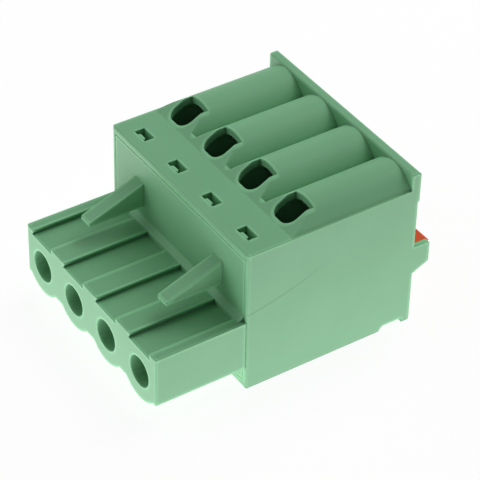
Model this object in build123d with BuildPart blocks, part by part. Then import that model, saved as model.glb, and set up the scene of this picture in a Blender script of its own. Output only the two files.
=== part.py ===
from build123d import *
from math import atan, degrees, radians, tan
import os

# A plug-in terminal block plug with spring clamps. +X runs across the poles, -Y is the mating nose,
# +Y is the side where wires go in, and +Z is up. The plug stands on z = 0, and the origin is at the
# middle of its footprint. All sizes are in millimetres.

# Driving dimensions: poles and outer form
poles = 4
pitch = 5.08
nose_length = 8.4
body_length = 16.35
body_height = 13.74
edge_radius = 0.2

# Driving dimensions: mating nose
nose_inset = 0.1
nose_top = 6.93
nose_bottom = 2.2
socket_height = 4.06
socket_radius = 1.4
socket_wall = 1.3
boss_radius = 2.72
groove_width = 2.8
groove_depth = 0.48
groove_undercut = 0.2
strip_height = 0.47
nose_radius = 0.15

# Driving dimensions: latch lugs over the nose
lug_width = 1.35
lug_reach = 5.25
lug_gap = 1.6
lug_rise = 2.3
lug_tip = 0.3
lug_offset = 0.82
lug_radius = 0.12

# Driving dimensions: carrier plate, its pockets and its snap nibs
plate_thickness = 2.4
plate_clearance = 0.05
pocket_width = 3.6
pocket_depth = 1.3
pocket_margin = 1.0
nib_width = 0.9
nib_length = 0.28
nib_radius = 0.2
nib_drop = 0.1
recess_depth = 0.7

# Driving dimensions: housing shell
side_rim = 0.45
deck_thickness = 0.62
floor_thickness = 0.7
partition = 0.8
rear_wall = 2.85
rail_width = 0.6
rail_spacing = 2.0
window_width = 1.62
window_length = 0.92
window_set = 1.08

# Driving dimensions: ribs, ramp and inspection holes
rib_radius = 2.75
rib_axis_drop = 1.36
rib_wall = 0.65
ramp_set = 4.15
ramp_length = 0.58
ramp_angle = 28.0
hole_width = 2.44
hole_length = 2.5
hole_set = 4.45
hole_radius = 0.9

# Driving dimensions: rear flange, cheeks and underside
flange_rise = 1.54
flange_thickness = 0.85
flange_proud = 0.15
flange_height = 2.9
cheek_reach = 1.6
cheek_top = 7.7
cheek_height = 2.05
cheek_slope = 0.75
cheek_radius = 0.3
heel_length = 0.75
relief_length = 2.4
relief_depth = 0.45

# Driving dimensions: wire entries
throat_radius = 1.45
mouth_radius = 2.05
funnel_depth = 1.5

# Driving dimensions: contact and its cage
sheet = 0.4
sleeve_size = 3.0
sleeve_length = 2.4
sleeve_gap = 0.2
sleeve_clearance = 0.15
tine_height = 1.8
tine_gap = 0.9
tine_reach = 3.2
tine_flare_length = 0.7
tine_flare = 0.35
cage_clearance = 0.12
cage_gap = 0.15
cage_wall_length = 2.4
roof_gap = 0.15
roof_length = 3.9

# Driving dimensions: clamp spring
spring_sheet = 0.35
spring_width = 2.9
spring_gap = 0.05
spring_loop = 2.4
spring_bend = 0.6
spring_leg = 5.0
spring_knee_drop = 1.0
spring_tip_set = 0.15
spring_lean = 2.3

# Driving dimensions: push button
button_width = 3.9
button_height = 2.2
button_bottom = 5.1
button_reach = 2.05
button_clearance = 0.18
button_travel = 1.3
button_radius = 0.25
shoulder_thickness = 0.9
shoulder_step = 0.4
shoulder_gap = 0.05
stem_width = 2.7
stem_inset = 0.3
stem_gap = 0.15
stem_bevel = 0.5
slot_width = 2.5
slot_height = 0.8
slot_depth = 0.7

# Stations along Y
overall_length = nose_length + body_length + button_reach
nose_front = -overall_length / 2
body_front = nose_front + nose_length
plate_back = body_front + plate_thickness
body_back = body_front + body_length
cell_back = body_back - rear_wall
flange_back = body_back + flange_proud
flange_front = flange_back - flange_thickness
relief_back = body_back - heel_length
relief_front = relief_back - relief_length
cheek_back = body_back + cheek_reach
button_back = body_back + button_reach
ramp_front = body_front + ramp_set
ramp_back = ramp_front + ramp_length
hole_front = body_front + hole_set
hole_back = hole_front + hole_length
window_front = body_front + window_set
window_back = window_front + window_length
window_middle = window_front + window_length / 2
nib_front = window_front + plate_clearance
sleeve_front = nose_front + socket_wall + sleeve_gap
sleeve_back = sleeve_front + sleeve_length
roof_back = cell_back - button_travel - cage_gap
roof_front = roof_back - roof_length
tip_station = roof_front + spring_tip_set
knee_station = tip_station + spring_lean
stem_front = knee_station + spring_sheet / 2 + stem_gap
stop_station = cell_back - shoulder_gap

# Levels along Z
flange_top = body_height + flange_rise
flange_bottom = flange_top - flange_height
rib_axis = body_height - rib_axis_drop
ceiling = body_height - deck_thickness
plate_top = ceiling - plate_clearance
plate_bottom = floor_thickness + plate_clearance
ramp_rise = ramp_length * tan(radians(ramp_angle))
roof_top = ceiling - roof_gap
roof_bottom = roof_top - sheet
wire_height = roof_bottom - throat_radius
groove_floor = nose_top - groove_depth
sleeve_bottom = socket_height - sleeve_size / 2
strip_top = sleeve_bottom + sheet
button_top = button_bottom + button_height
button_middle = button_bottom + button_height / 2
cheek_bottom = cheek_top - cheek_height
lug_bottom = nose_top + lug_gap
spring_foot = strip_top + spring_gap + spring_sheet / 2
spring_top = roof_bottom - spring_gap - spring_sheet / 2
cell_middle = (floor_thickness + ceiling) / 2

# Widths along X
body_width = poles * pitch
nose_width = body_width - 2 * nose_inset
cavity_width = body_width - 2 * side_rim
plate_width = cavity_width - 2 * plate_clearance
chamber_size = sleeve_size + 2 * sleeve_clearance
cell_width = pitch - partition
cage_width = cell_width - 2 * cage_clearance
channel_width = button_width + 2 * button_clearance
lug_position = pitch + lug_offset
first_pole = -(poles - 1) * pitch / 2
pole_positions = [first_pole + index * pitch for index in range(poles)]


def across(station):
    """Plane across the plug at a station along Y, with its local y along +Z."""
    return Plane.XZ.offset(-station)


# Ribs: half-round covers over the wire spaces, cut off at the front by the ramp
ramp_plane = Plane(
    origin=(0, ramp_front, body_height),
    x_dir=(1, 0, 0),
    z_dir=(0, -tan(radians(ramp_angle)), 1),
)

with BuildPart() as rib:
    with BuildSketch(across(ramp_front)):
        with Locations((0, rib_axis)):
            Circle(rib_radius)
            Rectangle(pitch, rib_radius, align=(Align.CENTER, Align.MIN), mode=Mode.INTERSECT)
    extrude(amount=-(flange_front - ramp_front))
    split(bisect_by=ramp_plane, keep=Keep.BOTTOM)

# The hollow under each rib, one wall thickness inside its skin
with BuildPart() as rib_hollow:
    with BuildSketch(across(ramp_front)):
        with Locations((0, rib_axis)):
            Circle(rib_radius - rib_wall)
        with Locations((0, ceiling)):
            Rectangle(2 * rib_radius, 2 * rib_radius, align=(Align.CENTER, Align.MAX), mode=Mode.SUBTRACT)
    extrude(amount=-(cell_back - ramp_front))
    split(bisect_by=ramp_plane.offset(-rib_wall), keep=Keep.BOTTOM)

with BuildPart() as housing:
    # Side profile of the shell, with the rear flange and the relief in the underside
    with BuildSketch(Plane.YZ):
        with BuildLine():
            Polyline(
                (body_front, 0),
                (relief_front, 0),
                (relief_front + relief_depth, relief_depth),
                (relief_back, relief_depth),
                (relief_back, 0),
                (body_back, 0),
                (body_back, flange_bottom),
                (flange_back, flange_bottom),
                (flange_back, flange_top),
                (flange_front, flange_top),
                (flange_front, body_height),
                (body_front, body_height),
                close=True,
            )
        make_face()
    extrude(amount=body_width / 2, both=True)
    cross_edges = housing.edges().filter_by(Axis.X)
    front_uprights = housing.edges().filter_by(Axis.Z).group_by(Axis.Y)[0]
    rear_foot = cross_edges.group_by(Axis.Z)[0].group_by(Axis.Y)[-1]
    fillet(
        cross_edges.group_by(Axis.Y)[0] + cross_edges.group_by(Axis.Z)[-1] + front_uprights + rear_foot,
        radius=edge_radius,
    )

    # Valleys between the ribs, the foot of the ramp across them, then the ribs themselves
    with BuildSketch(Plane.XY.offset(body_height)):
        with Locations((0, ramp_back)):
            Rectangle((poles - 1) * pitch, flange_front - ramp_back, align=(Align.CENTER, Align.MIN))
    extrude(amount=-rib_axis_drop, mode=Mode.SUBTRACT)
    with BuildSketch(Plane.YZ):
        with BuildLine():
            Polyline(
                (ramp_front, body_height),
                (ramp_back, body_height + ramp_rise),
                (ramp_back, body_height),
                close=True,
            )
        make_face()
    extrude(amount=(poles - 1) * pitch / 2, both=True)
    with Locations(*[(x, 0, 0) for x in pole_positions]):
        add(rib.part)

    # Front opening for the carrier plate
    with BuildSketch(across(body_front)):
        with Locations((0, cell_middle)):
            Rectangle(cavity_width, ceiling - floor_thickness)
    extrude(amount=-plate_thickness, mode=Mode.SUBTRACT)

    # One cell for each pole behind the plate, with the hollow of its rib
    with BuildSketch(across(plate_back)):
        with Locations((0, cell_middle)):
            with GridLocations(pitch, 0, poles, 1):
                Rectangle(cell_width, ceiling - floor_thickness)
    extrude(amount=-(cell_back - plate_back), mode=Mode.SUBTRACT)
    with Locations(*[(x, 0, 0) for x in pole_positions]):
        add(rib_hollow.part, mode=Mode.SUBTRACT)

    # Rails on the cell floors that carry the contact strips
    with BuildSketch(across(plate_back)):
        for x in pole_positions:
            with Locations((x, floor_thickness)):
                with GridLocations(rail_spacing, 0, 2, 1):
                    Rectangle(rail_width, sleeve_bottom - floor_thickness, align=(Align.CENTER, Align.MIN))
    extrude(amount=-(cell_back - plate_back))

    # Inspection holes, square at the back and rounded at the front
    with BuildSketch(Plane.XY.offset(ceiling)) as hole_sketch:
        with Locations((0, (hole_front + hole_back) / 2)):
            with GridLocations(pitch, 0, poles, 1):
                Rectangle(hole_width, hole_length)
        fillet(hole_sketch.vertices().group_by(Axis.Y)[0], radius=hole_radius)
    extrude(amount=flange_top - ceiling, mode=Mode.SUBTRACT)

    # Windows for the snap nibs, through the deck and through the floor
    with BuildSketch(Plane.XY.offset(ceiling), Plane.XY):
        with Locations((0, window_middle)):
            with GridLocations(pitch, 0, poles, 1):
                Rectangle(window_width, window_length)
    extrude(amount=max(deck_thickness, floor_thickness), mode=Mode.SUBTRACT)

    # Cheeks at both sides and guides between the buttons
    with BuildSketch(Plane.YZ) as cheek_sketch:
        with BuildLine():
            Polyline(
                (cell_back, cheek_top),
                (cheek_back, cheek_top),
                (cheek_back, cheek_bottom),
                (body_back, cheek_bottom - cheek_slope),
                (cell_back, cheek_bottom - cheek_slope),
                close=True,
            )
        make_face()
        fillet(cheek_sketch.vertices().group_by(Axis.Y)[-1], radius=cheek_radius)
    extrude(amount=body_width / 2, both=True)

    # Channels for the push buttons, through the rear wall and open above behind it
    with BuildSketch(across(cell_back)):
        with Locations((0, button_middle)):
            with GridLocations(pitch, 0, poles, 1):
                Rectangle(channel_width, button_height + 2 * button_clearance)
    extrude(amount=-rear_wall, mode=Mode.SUBTRACT)
    with BuildSketch(across(body_back)):
        with Locations((0, button_middle)):
            with GridLocations(pitch, 0, poles, 1):
                Rectangle(channel_width, 2 * cheek_top - 2 * button_bottom)
    extrude(amount=-cheek_reach, mode=Mode.SUBTRACT)

    # Wire entries: a funnel that narrows to a round throat
    entry_plane = Plane(origin=(0, flange_back, wire_height), x_dir=(1, 0, 0), z_dir=(0, 1, 0))
    with Locations(entry_plane):
        with GridLocations(pitch, 0, poles, 1):
            CounterSinkHole(
                throat_radius,
                mouth_radius,
                depth=rear_wall + flange_proud,
                counter_sink_angle=2 * degrees(atan((mouth_radius - throat_radius) / funnel_depth)),
            )

# One latch lug: a wedge that reaches forward over the nose, clear of it
with BuildPart() as lug:
    with BuildSketch(Plane.YZ):
        with BuildLine():
            Polyline(
                (body_front + plate_thickness / 2, lug_bottom),
                (body_front + plate_thickness / 2, lug_bottom + lug_rise),
                (body_front, lug_bottom + lug_rise),
                (body_front - lug_reach, lug_bottom + lug_tip),
                (body_front - lug_reach, lug_bottom),
                close=True,
            )
        make_face()
    extrude(amount=lug_width / 2, both=True)
    fillet(lug.edges().filter_by(Axis.Z).group_by(Axis.Y)[0], radius=lug_radius)

with BuildPart() as contact_carrier:
    # Plate that closes the front of the housing
    with BuildSketch(across(body_front)):
        with Locations((0, cell_middle)):
            Rectangle(plate_width, plate_top - plate_bottom)
    extrude(amount=-plate_thickness)

    # Nose: a bar with a round boss under each socket and an undercut groove over it
    with BuildSketch(across(nose_front)):
        with Locations((0, nose_bottom)):
            Rectangle(nose_width, nose_top - nose_bottom, align=(Align.CENTER, Align.MIN))
        with Locations((0, socket_height)):
            with GridLocations(pitch, 0, poles, 1):
                Circle(boss_radius)
        Rectangle(nose_width, nose_top, align=(Align.CENTER, Align.MIN), mode=Mode.INTERSECT)
        with Locations((0, nose_top)):
            with GridLocations(pitch, 0, poles, 1):
                Polygon(
                    (-groove_width / 2, 0),
                    (groove_width / 2, 0),
                    (groove_width / 2 + groove_undercut, -groove_depth),
                    (-groove_width / 2 - groove_undercut, -groove_depth),
                    align=None,
                    mode=Mode.SUBTRACT,
                )
    extrude(amount=-nose_length)
    front_edges = contact_carrier.faces().sort_by(Axis.Y)[0].edges()
    ridge_edges = front_edges.filter_by(Axis.X).group_by(Axis.Z)[-1]
    fillet(front_edges.filter_by(Axis.Z) + ridge_edges, radius=nose_radius)

    # Sloping strip along the foot of the plate, over the nose
    with BuildSketch(Plane.YZ):
        with BuildLine():
            Polyline(
                (body_front, groove_floor),
                (body_front, nose_top + strip_height),
                (body_front - strip_height, nose_top),
                (body_front - strip_height, groove_floor),
                close=True,
            )
        make_face()
    extrude(amount=plate_width / 2, both=True)

    # Latch lugs
    with Locations((-lug_position, 0, 0), (lug_position, 0, 0)):
        add(lug.part)

    # Sockets in the nose, with a square chamber behind each
    with BuildSketch(across(nose_front)):
        with Locations((0, socket_height)):
            with GridLocations(pitch, 0, poles, 1):
                Circle(socket_radius)
    extrude(amount=-socket_wall, mode=Mode.SUBTRACT)
    with BuildSketch(across(nose_front + socket_wall)):
        with Locations((0, socket_height)):
            with GridLocations(pitch, 0, poles, 1):
                Rectangle(chamber_size, chamber_size)
    extrude(amount=-(plate_back - nose_front - socket_wall), mode=Mode.SUBTRACT)

    # Pockets in the back of the plate, one over each chamber
    with BuildSketch(across(plate_back)):
        with Locations((0, (nose_top + ceiling) / 2)):
            with GridLocations(pitch, 0, poles, 1):
                Rectangle(pocket_width, ceiling - nose_top - 2 * pocket_margin)
    extrude(amount=pocket_depth, mode=Mode.SUBTRACT)

    # Recesses in the plate under the windows
    with BuildSketch(Plane.XY.offset(plate_top), Plane.XY.offset(plate_bottom + recess_depth)):
        with Locations((0, nib_front)):
            with GridLocations(pitch, 0, poles, 1):
                Rectangle(window_width, window_back - nib_front, align=(Align.CENTER, Align.MIN))
    extrude(amount=-recess_depth, mode=Mode.SUBTRACT)

    # Snap nibs that rise from the recesses into the windows of the deck and the floor
    with BuildSketch(Plane.XY.offset(nib_drop)) as nib_sketch:
        with Locations((0, nib_front)):
            with GridLocations(pitch, 0, poles, 1):
                Rectangle(nib_width, nib_length, align=(Align.CENTER, Align.MIN))
        fillet(nib_sketch.vertices().group_by(Axis.Y)[-1], radius=nib_radius)
    extrude(amount=plate_bottom + recess_depth - nib_drop)
    with BuildSketch(Plane.XY.offset(body_height - nib_drop)) as top_nib_sketch:
        with Locations((0, nib_front)):
            with GridLocations(pitch, 0, poles, 1):
                Rectangle(nib_width, nib_length, align=(Align.CENTER, Align.MIN))
        fillet(top_nib_sketch.vertices().group_by(Axis.Y)[-1], radius=nib_radius)
    extrude(amount=-(body_height - nib_drop - plate_top + recess_depth))

with BuildPart() as contact:
    # Floor strip from the sleeve to the cage
    with BuildSketch(Plane.XY.offset(sleeve_bottom)):
        with Locations((0, sleeve_front)):
            Rectangle(sleeve_size, roof_back - sleeve_front, align=(Align.CENTER, Align.MIN))
        with Locations((0, roof_back)):
            Rectangle(cage_width, cage_wall_length, align=(Align.CENTER, Align.MAX))
    extrude(amount=sheet)

    # Square sleeve that holds the tines
    with BuildSketch(across(sleeve_front)):
        with Locations((0, socket_height)):
            Rectangle(sleeve_size, sleeve_size)
            Rectangle(sleeve_size - 2 * sheet, sleeve_size - 2 * sheet, mode=Mode.SUBTRACT)
    extrude(amount=-sleeve_length)

    # Two tines that close towards each other and flare at their ends
    with BuildSketch(Plane.XY.offset(socket_height)):
        for side in (-1, 1):
            with BuildLine():
                Polyline(
                    (side * (sleeve_size - sheet) / 2, sleeve_back - sheet),
                    (side * (tine_gap + sheet) / 2, sleeve_back + tine_reach),
                    (
                        side * ((tine_gap + sheet) / 2 + tine_flare),
                        sleeve_back + tine_reach + tine_flare_length,
                    ),
                )
            trace(line_width=sheet)
    extrude(amount=tine_height / 2, both=True)

    # Cage: two upright walls with a roof that the wire is pressed against
    with BuildSketch(across(roof_back)):
        with Locations((0, sleeve_bottom)):
            Rectangle(cage_width, roof_top - sleeve_bottom, align=(Align.CENTER, Align.MIN))
        with Locations((0, strip_top)):
            Rectangle(
                cage_width - 2 * sheet,
                roof_bottom - strip_top,
                align=(Align.CENTER, Align.MIN),
                mode=Mode.SUBTRACT,
            )
    extrude(amount=cage_wall_length)
    with BuildSketch(Plane.XY.offset(roof_bottom)):
        with Locations((0, roof_front)):
            Rectangle(cage_width, roof_length, align=(Align.CENTER, Align.MIN))
    extrude(amount=sheet)

with BuildPart() as clamp_spring:
    # Bearing leg on the strip, a loop at the front, and a clamp leg that leans up to the roof
    with BuildSketch(Plane.YZ):
        with BuildLine():
            FilletPolyline(
                (knee_station, spring_foot),
                (knee_station - spring_leg, spring_foot),
                (knee_station - spring_leg, spring_foot + spring_loop),
                (knee_station, button_top - spring_knee_drop),
                (tip_station, spring_top),
                radius=spring_bend,
            )
        trace(line_width=spring_sheet)
    extrude(amount=spring_width / 2, both=True)

with BuildPart() as push_button:
    # Cap that stands out behind the body
    with BuildSketch(across(button_back)):
        with Locations((0, button_middle)):
            Rectangle(button_width, button_height)
    extrude(amount=button_back - cell_back)
    fillet(push_button.faces().sort_by(Axis.Y)[-1].edges(), radius=button_radius)

    # Shoulder that stops on the inside of the rear wall
    with BuildSketch(across(cell_back)):
        with Locations((0, button_middle)):
            Rectangle(stem_width, button_height)
    extrude(amount=shoulder_gap)
    with BuildSketch(across(stop_station)):
        with Locations((0, button_middle)):
            Rectangle(stem_width, button_height + 2 * shoulder_step)
    extrude(amount=shoulder_thickness)

    # Stem that reaches forward to the knee of the clamp spring
    with BuildSketch(across(stop_station - shoulder_thickness)):
        with Locations((0, button_middle)):
            Rectangle(stem_width, button_height - 2 * stem_inset)
    extrude(amount=stop_station - shoulder_thickness - stem_front)
    stem_edges = push_button.faces().sort_by(Axis.Y)[0].edges().filter_by(Axis.X)
    chamfer(stem_edges.sort_by(Axis.Z)[0], length=stem_bevel)

    # Screwdriver slot in the end of the cap
    with BuildSketch(across(button_back)):
        with Locations((0, button_middle)):
            Rectangle(slot_width, slot_height)
    extrude(amount=slot_depth, mode=Mode.SUBTRACT)

os.makedirs("parts", exist_ok=True)
housing.part.label = "housing"
export_step(housing.part, "parts/housing.step")
contact_carrier.part.label = "contact_carrier"
export_step(contact_carrier.part, "parts/contact_carrier.step")

# Contact, clamp spring and push button, once for each pole
for number, x in enumerate(pole_positions, start=1):
    for name, piece in (
        ("contact", contact.part),
        ("clamp_spring", clamp_spring.part),
        ("push_button", push_button.part),
    ):
        placed = piece.moved(Location((x, 0, 0)))
        placed.label = f"{name}_{number}"
        export_step(placed, f"parts/{name}_{number}.step")
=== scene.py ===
import logging
import math
from dataclasses import dataclass, field
from enum import Enum

import bpy
import numpy as np
from mathutils import Matrix, Vector


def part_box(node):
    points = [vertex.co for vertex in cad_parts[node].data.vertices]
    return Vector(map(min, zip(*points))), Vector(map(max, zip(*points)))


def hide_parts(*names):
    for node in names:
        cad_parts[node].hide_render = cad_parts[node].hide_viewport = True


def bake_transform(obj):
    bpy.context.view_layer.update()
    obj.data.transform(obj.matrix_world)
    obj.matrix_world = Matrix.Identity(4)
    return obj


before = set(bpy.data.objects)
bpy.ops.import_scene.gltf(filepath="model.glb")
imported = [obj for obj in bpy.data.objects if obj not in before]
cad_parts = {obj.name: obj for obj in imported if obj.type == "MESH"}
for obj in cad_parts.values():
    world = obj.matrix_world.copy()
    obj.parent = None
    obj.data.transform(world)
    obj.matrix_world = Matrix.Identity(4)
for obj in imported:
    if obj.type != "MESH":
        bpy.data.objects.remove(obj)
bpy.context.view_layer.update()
LOG = logging.getLogger("terminal_block_plug")
MM = 0.001

Colour = tuple[float, float, float]
Span = tuple[float, float]
WHITE: Colour = (1.0, 1.0, 1.0)
BRIGHTEST = 0.95


def srgb(red: float, green: float, blue: float) -> Colour:
    """Turns a screen colour into the linear colour that shaders use.

    Args:
        red: screen red from 0 to 1.
        green: screen green from 0 to 1.
        blue: screen blue from 0 to 1.

    Returns:
        The linear red, green and blue.
    """
    shares = np.array([red, green, blue])
    linear = np.where(shares <= 0.04045, shares / 12.92, ((shares + 0.055) / 1.055) ** 2.4)
    return tuple(float(share) for share in linear)


def scaled(colour: Colour, factor: float) -> Colour:
    """Makes a colour lighter or darker with its hue kept.

    Args:
        colour: the linear colour to start from.
        factor: what each channel is multiplied by.

    Returns:
        The new linear colour.
    """
    return tuple(min(channel * factor, BRIGHTEST) for channel in colour)


def toward(azimuth: float, elevation: float) -> Vector:
    """Finds the direction from the plug to a place in the studio.

    The direction is (sin azimuth cos elevation, -cos azimuth cos elevation, sin elevation).

    Args:
        azimuth: degrees round the plug, 0 in front of the nose and 90 at its right.
        elevation: degrees above the table.

    Returns:
        The unit vector.
    """
    turn = math.radians(azimuth)
    rise = math.radians(elevation)
    return Vector((math.sin(turn) * math.cos(rise), -math.cos(turn) * math.cos(rise), math.sin(rise)))


class Signal:
    """A shader socket that can be added, subtracted and multiplied like a number."""

    def __init__(self, nodes: "Nodes", socket: bpy.types.NodeSocket) -> None:
        """Keeps the node tree and the output socket."""
        self.nodes = nodes
        self.socket = socket

    def _join(self, operation: str, first: "Signal | float", second: "Signal | float") -> "Signal":
        """Adds one Math node and returns its result."""
        return self.nodes.node("ShaderNodeMath", {"operation": operation}, {0: first, 1: second})

    def __add__(self, other: "Signal | float") -> "Signal":
        """Returns self + other."""
        return self._join("ADD", self, other)

    def __radd__(self, other: float) -> "Signal":
        """Returns other + self."""
        return self._join("ADD", other, self)

    def __sub__(self, other: "Signal | float") -> "Signal":
        """Returns self - other."""
        return self._join("SUBTRACT", self, other)

    def __rsub__(self, other: float) -> "Signal":
        """Returns other - self."""
        return self._join("SUBTRACT", other, self)

    def __mul__(self, other: "Signal | float") -> "Signal":
        """Returns self * other."""
        return self._join("MULTIPLY", self, other)

    def __rmul__(self, other: float) -> "Signal":
        """Returns other * self."""
        return self._join("MULTIPLY", other, self)

    def __abs__(self) -> "Signal":
        """Returns the size of self without its sign."""
        return self.nodes.node("ShaderNodeMath", {"operation": "ABSOLUTE"}, {0: self})

    def larger(self, other: "Signal") -> "Signal":
        """Returns the larger of self and other."""
        return self._join("MAXIMUM", self, other)

    def band(self, low: float, high: float) -> "Signal":
        """Turns self into a smooth rise.

        Args:
            low: the value up to which the result is 0.
            high: the value from which the result is 1.

        Returns:
            The rise, from 0 to 1.
        """
        ramp = {"data_type": "FLOAT", "interpolation_type": "SMOOTHSTEP"}
        ends = {"Value": self, "From Min": low, "From Max": high}
        return self.nodes.node("ShaderNodeMapRange", ramp, ends)


class Nodes:
    """The nodes of a material or of the surroundings, built from expressions."""

    def __init__(self, tree: bpy.types.NodeTree) -> None:
        """Keeps the node tree."""
        self.tree = tree

    def node(self, kind: str, settings: dict, inputs: dict, output: int | str = 0) -> Signal:
        """Adds any shader node.

        Args:
            kind: the node's type.
            settings: the node's properties, set before its sockets.
            inputs: socket name or number to a value or a Signal.
            output: which output socket to return.

        Returns:
            The chosen output as a Signal.
        """
        made = self.tree.nodes.new(kind)
        for key, value in settings.items():
            setattr(made, key, value)
        for key, value in inputs.items():
            self.feed(made.inputs[key], value)
        return Signal(self, made.outputs[output])

    def feed(self, socket: bpy.types.NodeSocket, value: "Signal | float | tuple") -> None:
        """Links a Signal to a socket, or sets a plain value on it.

        Args:
            socket: the input socket.
            value: the Signal, number or vector, or a colour without its alpha.
        """
        if isinstance(value, Signal):
            self.tree.links.new(value.socket, socket)
        elif socket.type == "RGBA":
            socket.default_value = (*value, 1.0)
        else:
            socket.default_value = value

    def place(self) -> Signal:
        """Returns the point on the surface, in the object's own metres."""
        return self.node("ShaderNodeTexCoord", {}, {}, "Object")

    def ray(self, kind: str) -> Signal:
        """Returns 1 for rays of that kind and 0 for the others."""
        return self.node("ShaderNodeLightPath", {}, {}, f"Is {kind} Ray")

    def axes(self, point: Signal) -> tuple[Signal, Signal, Signal]:
        """Splits a point into its three axes."""
        split = self.node("ShaderNodeSeparateXYZ", {}, {0: point}).socket.node
        return tuple(Signal(self, socket) for socket in split.outputs)

    def noise(self, point: Signal, feature: float, detail: float) -> Signal:
        """Returns a noise value whose features are about that many metres wide."""
        sockets = {"Vector": point, "Scale": 1.0 / feature, "Detail": detail}
        return self.node("ShaderNodeTexNoise", {}, sockets)

    def mix(self, share: "Signal | float", first: "Signal | Colour", second: "Signal | Colour") -> Signal:
        """Mixes two colours, from the first at share 0 to the second at share 1."""
        return self.node("ShaderNodeMix", {"data_type": "RGBA"}, {0: share, 6: first, 7: second}, 2)


class Shader(Nodes):
    """One material with a Principled surface."""

    def __init__(self, name: str) -> None:
        """Makes the material and its Principled surface.

        Args:
            name: the material's name.
        """
        self.material = bpy.data.materials.new(name)
        self.material.use_nodes = True
        super().__init__(self.material.node_tree)
        self.surface = self.tree.nodes["Principled BSDF"]

    def paint(self, **sockets: "Signal | float | Colour") -> None:
        """Sets or links sockets of the surface, with underscores for the blanks in their names."""
        for key, value in sockets.items():
            self.feed(self.surface.inputs[key.replace("_", " ")], value)


@dataclass(frozen=True)
class KnitLine:
    """The faint line where two melt fronts met on the outer side faces.

    It climbs from the front edge: z = height + slope (y - start) + curve (y - start)^2. It shows from the
    second side distance outwards, and fades out between the two lengths of fade behind the start.
    """

    start: float = -4.6 * MM
    height: float = 7.8 * MM
    slope: float = 0.16
    curve: float = 0.02 / MM
    width: float = 0.22 * MM
    side: Span = (9.8 * MM, 10.1 * MM)
    fade: Span = (3.0 * MM, 9.0 * MM)
    gain: float = 0.86

    def mask(self, shader: Shader, point: Signal) -> Signal:
        """Finds the line on the surface.

        Args:
            shader: the material being built.
            point: the place on the surface.

        Returns:
            1 on the line, 0 away from it.
        """
        across, along, height = shader.axes(point)
        run = along - self.start
        line = self.height + run * self.slope + run * run * self.curve
        return (1.0 - abs(height - line).band(0.0, self.width)) * abs(across).band(*self.side) * (
            1.0 - run.band(*self.fade)
        )


@dataclass(frozen=True)
class MouldedPlastic:
    """Matte moulded plastic: fine grain and faint flow marks, with a painted highlight on rounded edges and
    painted shade in narrow seams and crevices.
    """

    name: str
    body: Colour
    pale: Colour
    knit: KnitLine | None = None
    roughness: float = 0.5
    ior: float = 1.6
    flow: float = 5.0 * MM
    flow_band: Span = (0.35, 0.65)
    flow_share: float = 0.35
    grain: float = 0.06 * MM
    grain_depth: float = 0.006 * MM
    grain_strength: float = 0.5
    speckle_grains: float = 4.0
    speckle_share: float = 0.2
    speckle_roughness: float = 0.08
    noise_detail: float = 2.0
    samples: int = 8
    edge: float = 0.16 * MM
    reach: float = 0.4 * MM
    # Painted highlight on rounded edges: openness limits inside and outside, and how much lighter than the
    # pale colour.
    painted_highlight_inside: Span = (0.55, 0.95)
    painted_highlight_outside: Span = (0.75, 0.95)
    painted_highlight_gain: float = 1.32
    # Painted shade in narrow seams and crevices: outside openness limits, and how much darker than the body
    # colour.
    painted_shade_outside: Span = (0.3, 0.75)
    painted_shade_gain: float = 0.55

    def openness(self, shader: Shader, inside: bool) -> Signal:
        """Returns the open share within reach of a point, inside the plastic or outside it."""
        look = {"samples": self.samples, "inside": inside, "only_local": inside}
        return shader.node("ShaderNodeAmbientOcclusion", look, {"Distance": self.reach}, "AO")

    def colour(self, shader: Shader, point: Signal, speckle: Signal) -> Signal:
        """Builds the colour over the surface.

        Flow marks and speckle drift between the body colour and the pale one. The knit line is darker.
        Narrow seams and crevices, where little is open outside, get painted shade. Edges get a painted
        highlight: paler where the plastic behind the surface is thin and nothing stands in front of it.

        Args:
            shader: the material being built.
            point: the place on the surface.
            speckle: the noise that also varies the roughness.

        Returns:
            The colour.
        """
        flow = shader.noise(point, self.flow, self.noise_detail)
        tone = flow.band(*self.flow_band) * self.flow_share + speckle * self.speckle_share
        inner = self.openness(shader, True)
        outer = self.openness(shader, False)
        # Painted highlight: edges where the plastic behind is thin and the outside is open are lightened
        # towards the pale colour.
        edge = (1.0 - inner.band(*self.painted_highlight_inside)) * outer.band(*self.painted_highlight_outside)
        # Painted shade: narrow seams and crevices with little open outside are darkened towards a darker body
        # colour.
        painted_crevice_shade = 1.0 - outer.band(*self.painted_shade_outside)
        colour = shader.mix(tone, self.body, self.pale)
        if self.knit:
            colour = shader.mix(self.knit.mask(shader, point), colour, scaled(self.body, self.knit.gain))
        colour = shader.mix(painted_crevice_shade, colour, scaled(self.body, self.painted_shade_gain))
        return shader.mix(edge, colour, scaled(self.pale, self.painted_highlight_gain))

    def make(self) -> bpy.types.Material:
        """Builds the material.

        Returns:
            The finished material.
        """
        shader = Shader(self.name)
        point = shader.place()
        speckle = shader.noise(point, self.grain * self.speckle_grains, self.noise_detail)
        relief = {
            "Strength": self.grain_strength,
            "Distance": self.grain_depth,
            "Height": shader.noise(point, self.grain, self.noise_detail),
            "Normal": shader.node("ShaderNodeBevel", {"samples": self.samples}, {"Radius": self.edge}),
        }
        shader.paint(
            Base_Color=self.colour(shader, point, speckle),
            Roughness=self.roughness + speckle * self.speckle_roughness,
            Normal=shader.node("ShaderNodeBump", {}, relief),
            IOR=self.ior,
        )
        return shader.material


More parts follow.
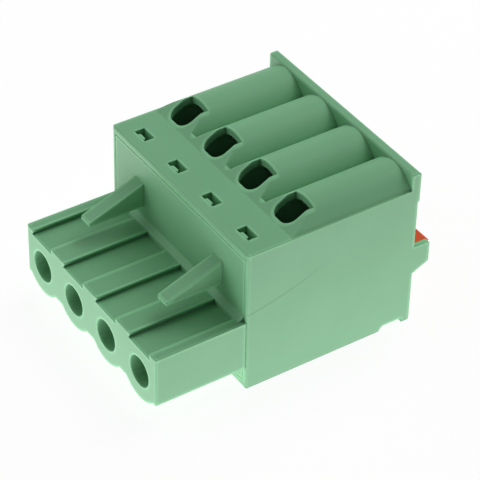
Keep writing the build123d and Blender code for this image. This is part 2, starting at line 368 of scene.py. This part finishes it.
@dataclass(frozen=True)
class SheetMetal:
    """Stamped or rolled sheet with fine lines along it and a soft sheen."""

    name: str
    bright: Colour
    dull: Colour
    roughness: float = 0.3
    line: float = 0.05 * MM
    line_stretch: tuple[float, float, float] = (1.0, 0.08, 0.6)
    line_depth: float = 0.002 * MM
    line_strength: float = 0.3
    line_roughness: float = 0.15
    cloud: float = 1.5 * MM
    cloud_band: Span = (0.3, 0.7)
    noise_detail: float = 3.0

    def make(self) -> bpy.types.Material:
        """Builds the material.

        Returns:
            The finished material.
        """
        shader = Shader(self.name)
        point = shader.place()
        stretch = {"Vector": point, "Scale": self.line_stretch}
        stretched = shader.node("ShaderNodeMapping", {"vector_type": "POINT"}, stretch)
        lines = shader.noise(stretched, self.line, self.noise_detail)
        cloud = shader.noise(point, self.cloud, self.noise_detail)
        relief = {"Strength": self.line_strength, "Distance": self.line_depth, "Height": lines}
        shader.paint(
            Base_Color=shader.mix(cloud.band(*self.cloud_band), self.bright, self.dull),
            Roughness=self.roughness + lines * self.line_roughness,
            Metallic=1.0,
            Normal=shader.node("ShaderNodeBump", {}, relief),
        )
        return shader.material


GREEN = srgb(0.47, 0.715, 0.535)
PALE_GREEN = srgb(0.5, 0.745, 0.565)
ORANGE = srgb(0.93, 0.34, 0.165)
PALE_ORANGE = srgb(0.945, 0.37, 0.19)


class Finish(Enum):
    """The finishes of this plug, one for each kind of piece."""

    HOUSING = MouldedPlastic("housing_green", GREEN, PALE_GREEN, knit=KnitLine())
    CARRIER = MouldedPlastic("carrier_green", GREEN, PALE_GREEN)
    BUTTON = MouldedPlastic("button_orange", ORANGE, PALE_ORANGE, ior=1.45)
    TIN = SheetMetal("tin_plate", srgb(0.78, 0.77, 0.73), srgb(0.66, 0.65, 0.61))
    SPRING = SheetMetal("spring_strip", srgb(0.62, 0.62, 0.61), srgb(0.5, 0.5, 0.5), roughness=0.25)


@dataclass
class Dresser:
    """Makes each finish once and puts it on the CAD nodes."""

    made: dict[str, bpy.types.Material] = field(default_factory=dict)

    def material(self, finish: Finish) -> bpy.types.Material:
        """Makes a finish's material the first time it is asked for.

        Args:
            finish: the finish.

        Returns:
            Its one material.
        """
        if finish.name not in self.made:
            self.made[finish.name] = finish.value.make()
        return self.made[finish.name]

    def dress(self, node: str, finish: Finish) -> None:
        """Puts a finish on every material slot of a CAD node.

        Args:
            node: the node's name.
            finish: the finish that it takes.
        """
        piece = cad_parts[node]
        for slot in piece.material_slots:
            slot.material = self.material(finish)
        LOG.info("%s: %s", node, finish.value.name)


@dataclass
class ClampSpring:
    """The bent strip of one pole."""

    dresser: Dresser
    number: int
    sheet: float = 0.35 * MM
    width: float = 2.9 * MM
    bend: float = 0.6 * MM
    corners: tuple[Span, ...] = (
        (5.6 * MM, 3.185 * MM),
        (0.6 * MM, 3.185 * MM),
        (0.6 * MM, 5.585 * MM),
        (5.6 * MM, 6.3 * MM),
        (3.3 * MM, 12.345 * MM),
    )
    run_steps: int = 16
    arc_steps: int = 12
    sharp: float = math.radians(40.0)
    still_below: float = 5.6 * MM
    moved_above: float = 6.4 * MM

    def path(self) -> tuple[np.ndarray, np.ndarray]:
        """Works out the strip's middle line, in the plane of Y and Z.

        A straight run joins each corner to the next, and an arc of the bend radius that touches both runs
        rounds each corner between: point = end of the run + radius * (normal there - normal after the turn).

        Returns:
            The points along the line, and the unit normals to its left.
        """
        corners = np.array(self.corners)
        runs = np.diff(corners, axis=0)
        headings = np.unwrap(np.arctan2(runs[:, 1], runs[:, 0]))
        turns = np.diff(headings)
        trims = np.concatenate([[0.0], self.bend * np.tan(np.abs(turns) / 2.0), [0.0]])
        ahead = np.column_stack([np.cos(headings), np.sin(headings)])
        starts = corners[:-1] + ahead * trims[:-1, None]
        stops = corners[1:] - ahead * trims[1:, None]
        share = np.linspace(0.0, 1.0, self.run_steps + 1)[:, None]
        points, normals = [], []
        for index, heading in enumerate(headings):
            left = np.array([-np.sin(heading), np.cos(heading)])
            run = starts[index] + (stops[index] - starts[index]) * share
            points.append(run)
            normals.append(np.broadcast_to(left, run.shape))
            if index < len(turns):
                radius = math.copysign(self.bend, turns[index])
                sweep = np.linspace(heading, headings[index + 1], self.arc_steps + 1)[1:-1]
                lefts = np.column_stack([-np.sin(sweep), np.cos(sweep)])
                points.append(stops[index] + (left - lefts) * radius)
                normals.append(lefts)
        return np.concatenate(points), np.concatenate(normals)

    def mesh(self, middle: float) -> bpy.types.Mesh:
        """Carries the strip's oblong section along its middle line and closes both ends.

        Each corner of the section is the line's point, half a sheet to either side along the normal, and half
        a width to either side along X.

        Args:
            middle: the pole's place along X.

        Returns:
            The closed strip.
        """
        points, normals = self.path()
        sides = np.array([[-0.5, -0.5], [0.5, -0.5], [0.5, 0.5], [-0.5, 0.5]])
        rings = np.empty((len(points), 4, 3))
        rings[:, :, 0] = middle + sides[:, 1] * self.width
        rings[:, :, 1:] = points[:, None, :] + normals[:, None, :] * (sides[:, :1] * self.sheet)
        numbers = np.arange(len(points) * 4).reshape(-1, 4)
        after = np.roll(numbers, -1, axis=1)
        walls = np.stack([numbers[:-1], after[:-1], after[1:], numbers[1:]], axis=-1).reshape(-1, 4)
        faces = np.concatenate([walls, numbers[:1, ::-1], numbers[-1:]])
        mesh = bpy.data.meshes.new(f"spring_strip_{self.number}")
        mesh.from_pydata(rings.reshape(-1, 3).tolist(), [], faces.tolist())
        mesh.polygons.foreach_set("use_smooth", np.ones(len(faces), bool))
        mesh.set_sharp_from_angle(angle=self.sharp)
        mesh.materials.append(self.dresser.material(Finish.SPRING))
        return mesh

    def build(self) -> None:
        """Makes the strip in place of its CAD node."""
        node = f"clamp_spring_{self.number}"
        low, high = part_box(node)
        middle = (low[0] + high[0]) / 2.0
        strip = bpy.data.objects.new(f"spring_strip_{self.number}", self.mesh(middle))
        bpy.context.scene.collection.objects.link(strip)
        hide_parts(node)
        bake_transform(strip)
        LOG.info("%s: %s", strip.name, Finish.SPRING.value.name)


@dataclass
class Shell:
    """The housing and the contact carrier that closes it."""

    dresser: Dresser
    housing: str = "housing"
    carrier: str = "contact_carrier"

    def dress(self) -> None:
        """Gives both mouldings their green."""
        self.dresser.dress(self.housing, Finish.HOUSING)
        self.dresser.dress(self.carrier, Finish.CARRIER)


@dataclass
class Pole:
    """One pole: its contact, its push button and its clamp spring."""

    dresser: Dresser
    number: int

    def dress(self) -> None:
        """Gives the contact and the button their finishes, and makes the spring."""
        self.dresser.dress(f"contact_{self.number}", Finish.TIN)
        self.dresser.dress(f"push_button_{self.number}", Finish.BUTTON)
        ClampSpring(self.dresser, self.number).build()


@dataclass(frozen=True)
class Lamp:
    """One soft square lamp that faces the plug and isn't mirrored in it.

    Its azimuth is counted from the nose towards +X and its elevation from the table, in degrees. Its side
    and its distance are in metres and its power in watts.
    """

    name: str
    azimuth: float
    elevation: float
    size: float
    watts: float
    distance: float = 0.35

    def build(self, target: Vector) -> None:
        """Hangs the lamp and turns it to the plug.

        Args:
            target: the point that it faces.
        """
        away = toward(self.azimuth, self.elevation)
        data = bpy.data.lights.new(self.name, "AREA")
        data.shape = "SQUARE"
        data.size = self.size
        data.energy = self.watts
        lamp = bpy.data.objects.new(self.name, data)
        lamp.location = target + away * self.distance
        lamp.visible_glossy = False
        lamp.rotation_euler = away.to_track_quat("Z", "Y").to_euler()
        bpy.context.scene.collection.objects.link(lamp)


@dataclass
class Studio:
    """White table, soft lamps and the camera at the photograph's place."""

    target: Vector = field(default_factory=lambda: Vector((0.0, -1.4 * MM, 7.0 * MM)))
    distance: float = 193.51 * MM
    azimuth: float = 55.673
    elevation: float = 38.868
    roll: float = 1.405
    slide_right: float = 2.049 * MM
    slide_up: float = -0.025 * MM
    focal_pixels: float = 2355.861
    frame_pixels: float = 480.0
    sensor: float = 36.0
    nearest: float = 10.0 * MM
    table_half: float = 400.0 * MM
    table_drop: float = 0.01 * MM
    table_grey: Colour = (0.8, 0.8, 0.8)
    table_roughness: float = 0.9
    table_glow: float = 2.1
    table_white: float = 1.08
    glow_share: float = 0.85
    glow_near: float = 30.0 * MM
    glow_far: float = 90.0 * MM
    glow_rest: float = 0.3
    sky: float = 0.03
    lamps: tuple[Lamp, ...] = (
        Lamp("rear_lamp", 185.0, 62.0, 0.25, 0.32),
        Lamp("low_rear_lamp", 190.0, 45.0, 0.25, 0.38),
        Lamp("left_lamp", 308.0, 48.0, 0.35, 0.2),
        Lamp("front_lamp", 332.0, 18.0, 0.2, 0.2),
    )

    def camera(self) -> None:
        """Makes the camera: a view direction, a roll about it, and a slide in its own plane."""
        roll = math.radians(self.roll)
        back = toward(self.azimuth, self.elevation)
        level = (-back).cross(Vector((0.0, 0.0, 1.0))).normalized()
        upright = level.cross(-back)
        right = math.cos(roll) * level + math.sin(roll) * upright
        up = math.cos(roll) * upright - math.sin(roll) * level
        place = self.target + right * self.slide_right + up * self.slide_up + back * self.distance
        data = bpy.data.cameras.new("photo_camera")
        data.sensor_width = self.sensor
        data.lens = self.focal_pixels / self.frame_pixels * self.sensor
        data.clip_start = self.nearest
        camera = bpy.data.objects.new("photo_camera", data)
        turned = Matrix((right, up, back)).transposed().to_4x4()
        camera.matrix_world = Matrix.Translation(place) @ turned
        bpy.context.scene.collection.objects.link(camera)
        bpy.context.scene.camera = camera

    def table_material(self) -> bpy.types.Material:
        """Builds the lit table: white to the camera with a soft shadow, and a bright glow on the plug.

        The glow is full near the plug and fades smoothly to a smaller share far from it.

        Returns:
            The material.
        """
        shader = Shader("table_white")
        shader.paint(Base_Color=self.table_grey, Roughness=self.table_roughness)
        seen = shader.ray("Camera")
        away = shader.node("ShaderNodeVectorMath", {"operation": "LENGTH"}, {0: shader.place()}, "Value")
        dim = away.band(self.glow_near, self.glow_far) * (1.0 - seen)
        light = {
            "Color": shader.mix(dim, WHITE, scaled(WHITE, self.glow_rest)),
            "Strength": self.table_glow + seen * (self.table_white - self.table_glow),
        }
        glow = shader.node("ShaderNodeEmission", {}, light, "Emission")
        matte = Signal(shader, shader.surface.outputs[0])
        both = shader.node("ShaderNodeMixShader", {}, {0: self.glow_share, 1: matte, 2: glow}, "Shader")
        shader.feed(shader.tree.nodes["Material Output"].inputs["Surface"], both)
        return shader.material

    def table(self) -> None:
        """Makes the flat table just below z = 0 from its four corners."""
        signs = np.array([[-1.0, -1.0], [1.0, -1.0], [1.0, 1.0], [-1.0, 1.0]])
        corners = np.column_stack([signs * self.table_half, np.full(4, -self.table_drop)])
        mesh = bpy.data.meshes.new("table")
        mesh.from_pydata(corners.tolist(), [], [(0, 1, 2, 3)])
        mesh.materials.append(self.table_material())
        table = bpy.data.objects.new("table", mesh)
        bpy.context.scene.collection.objects.link(table)

    def world(self) -> None:
        """Makes the surroundings: a faint even grey as light, and white where they are seen.

        The strength is sky + (1 - sky) * seen, where seen is 1 for rays from the camera, through glass or
        mirrored.
        """
        world = bpy.data.worlds.new("surroundings")
        world.use_nodes = True
        bpy.context.scene.world = world
        nodes = Nodes(world.node_tree)
        seen = nodes.ray("Camera").larger(nodes.ray("Transmission")).larger(nodes.ray("Glossy"))
        background = nodes.tree.nodes["Background"]
        nodes.feed(background.inputs["Color"], WHITE)
        nodes.feed(background.inputs["Strength"], self.sky + seen * (1.0 - self.sky))

    def build(self) -> None:
        """Sets up the camera, the table, the surroundings and the lamps."""
        self.camera()
        self.table()
        self.world()
        for lamp in self.lamps:
            lamp.build(self.target)
        bpy.context.scene.view_settings.view_transform = "Standard"
        LOG.info("studio: camera, table and lamps")


def main() -> None:
    """Dresses every piece of the plug and sets it in the studio."""
    logging.basicConfig(level=logging.INFO)
    dresser = Dresser()
    Shell(dresser).dress()
    poles = sum(name.startswith("push_button_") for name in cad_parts)
    for number in range(1, poles + 1):
        Pole(dresser, number).dress()
    Studio().build()


if __name__ == "__main__":
    main()
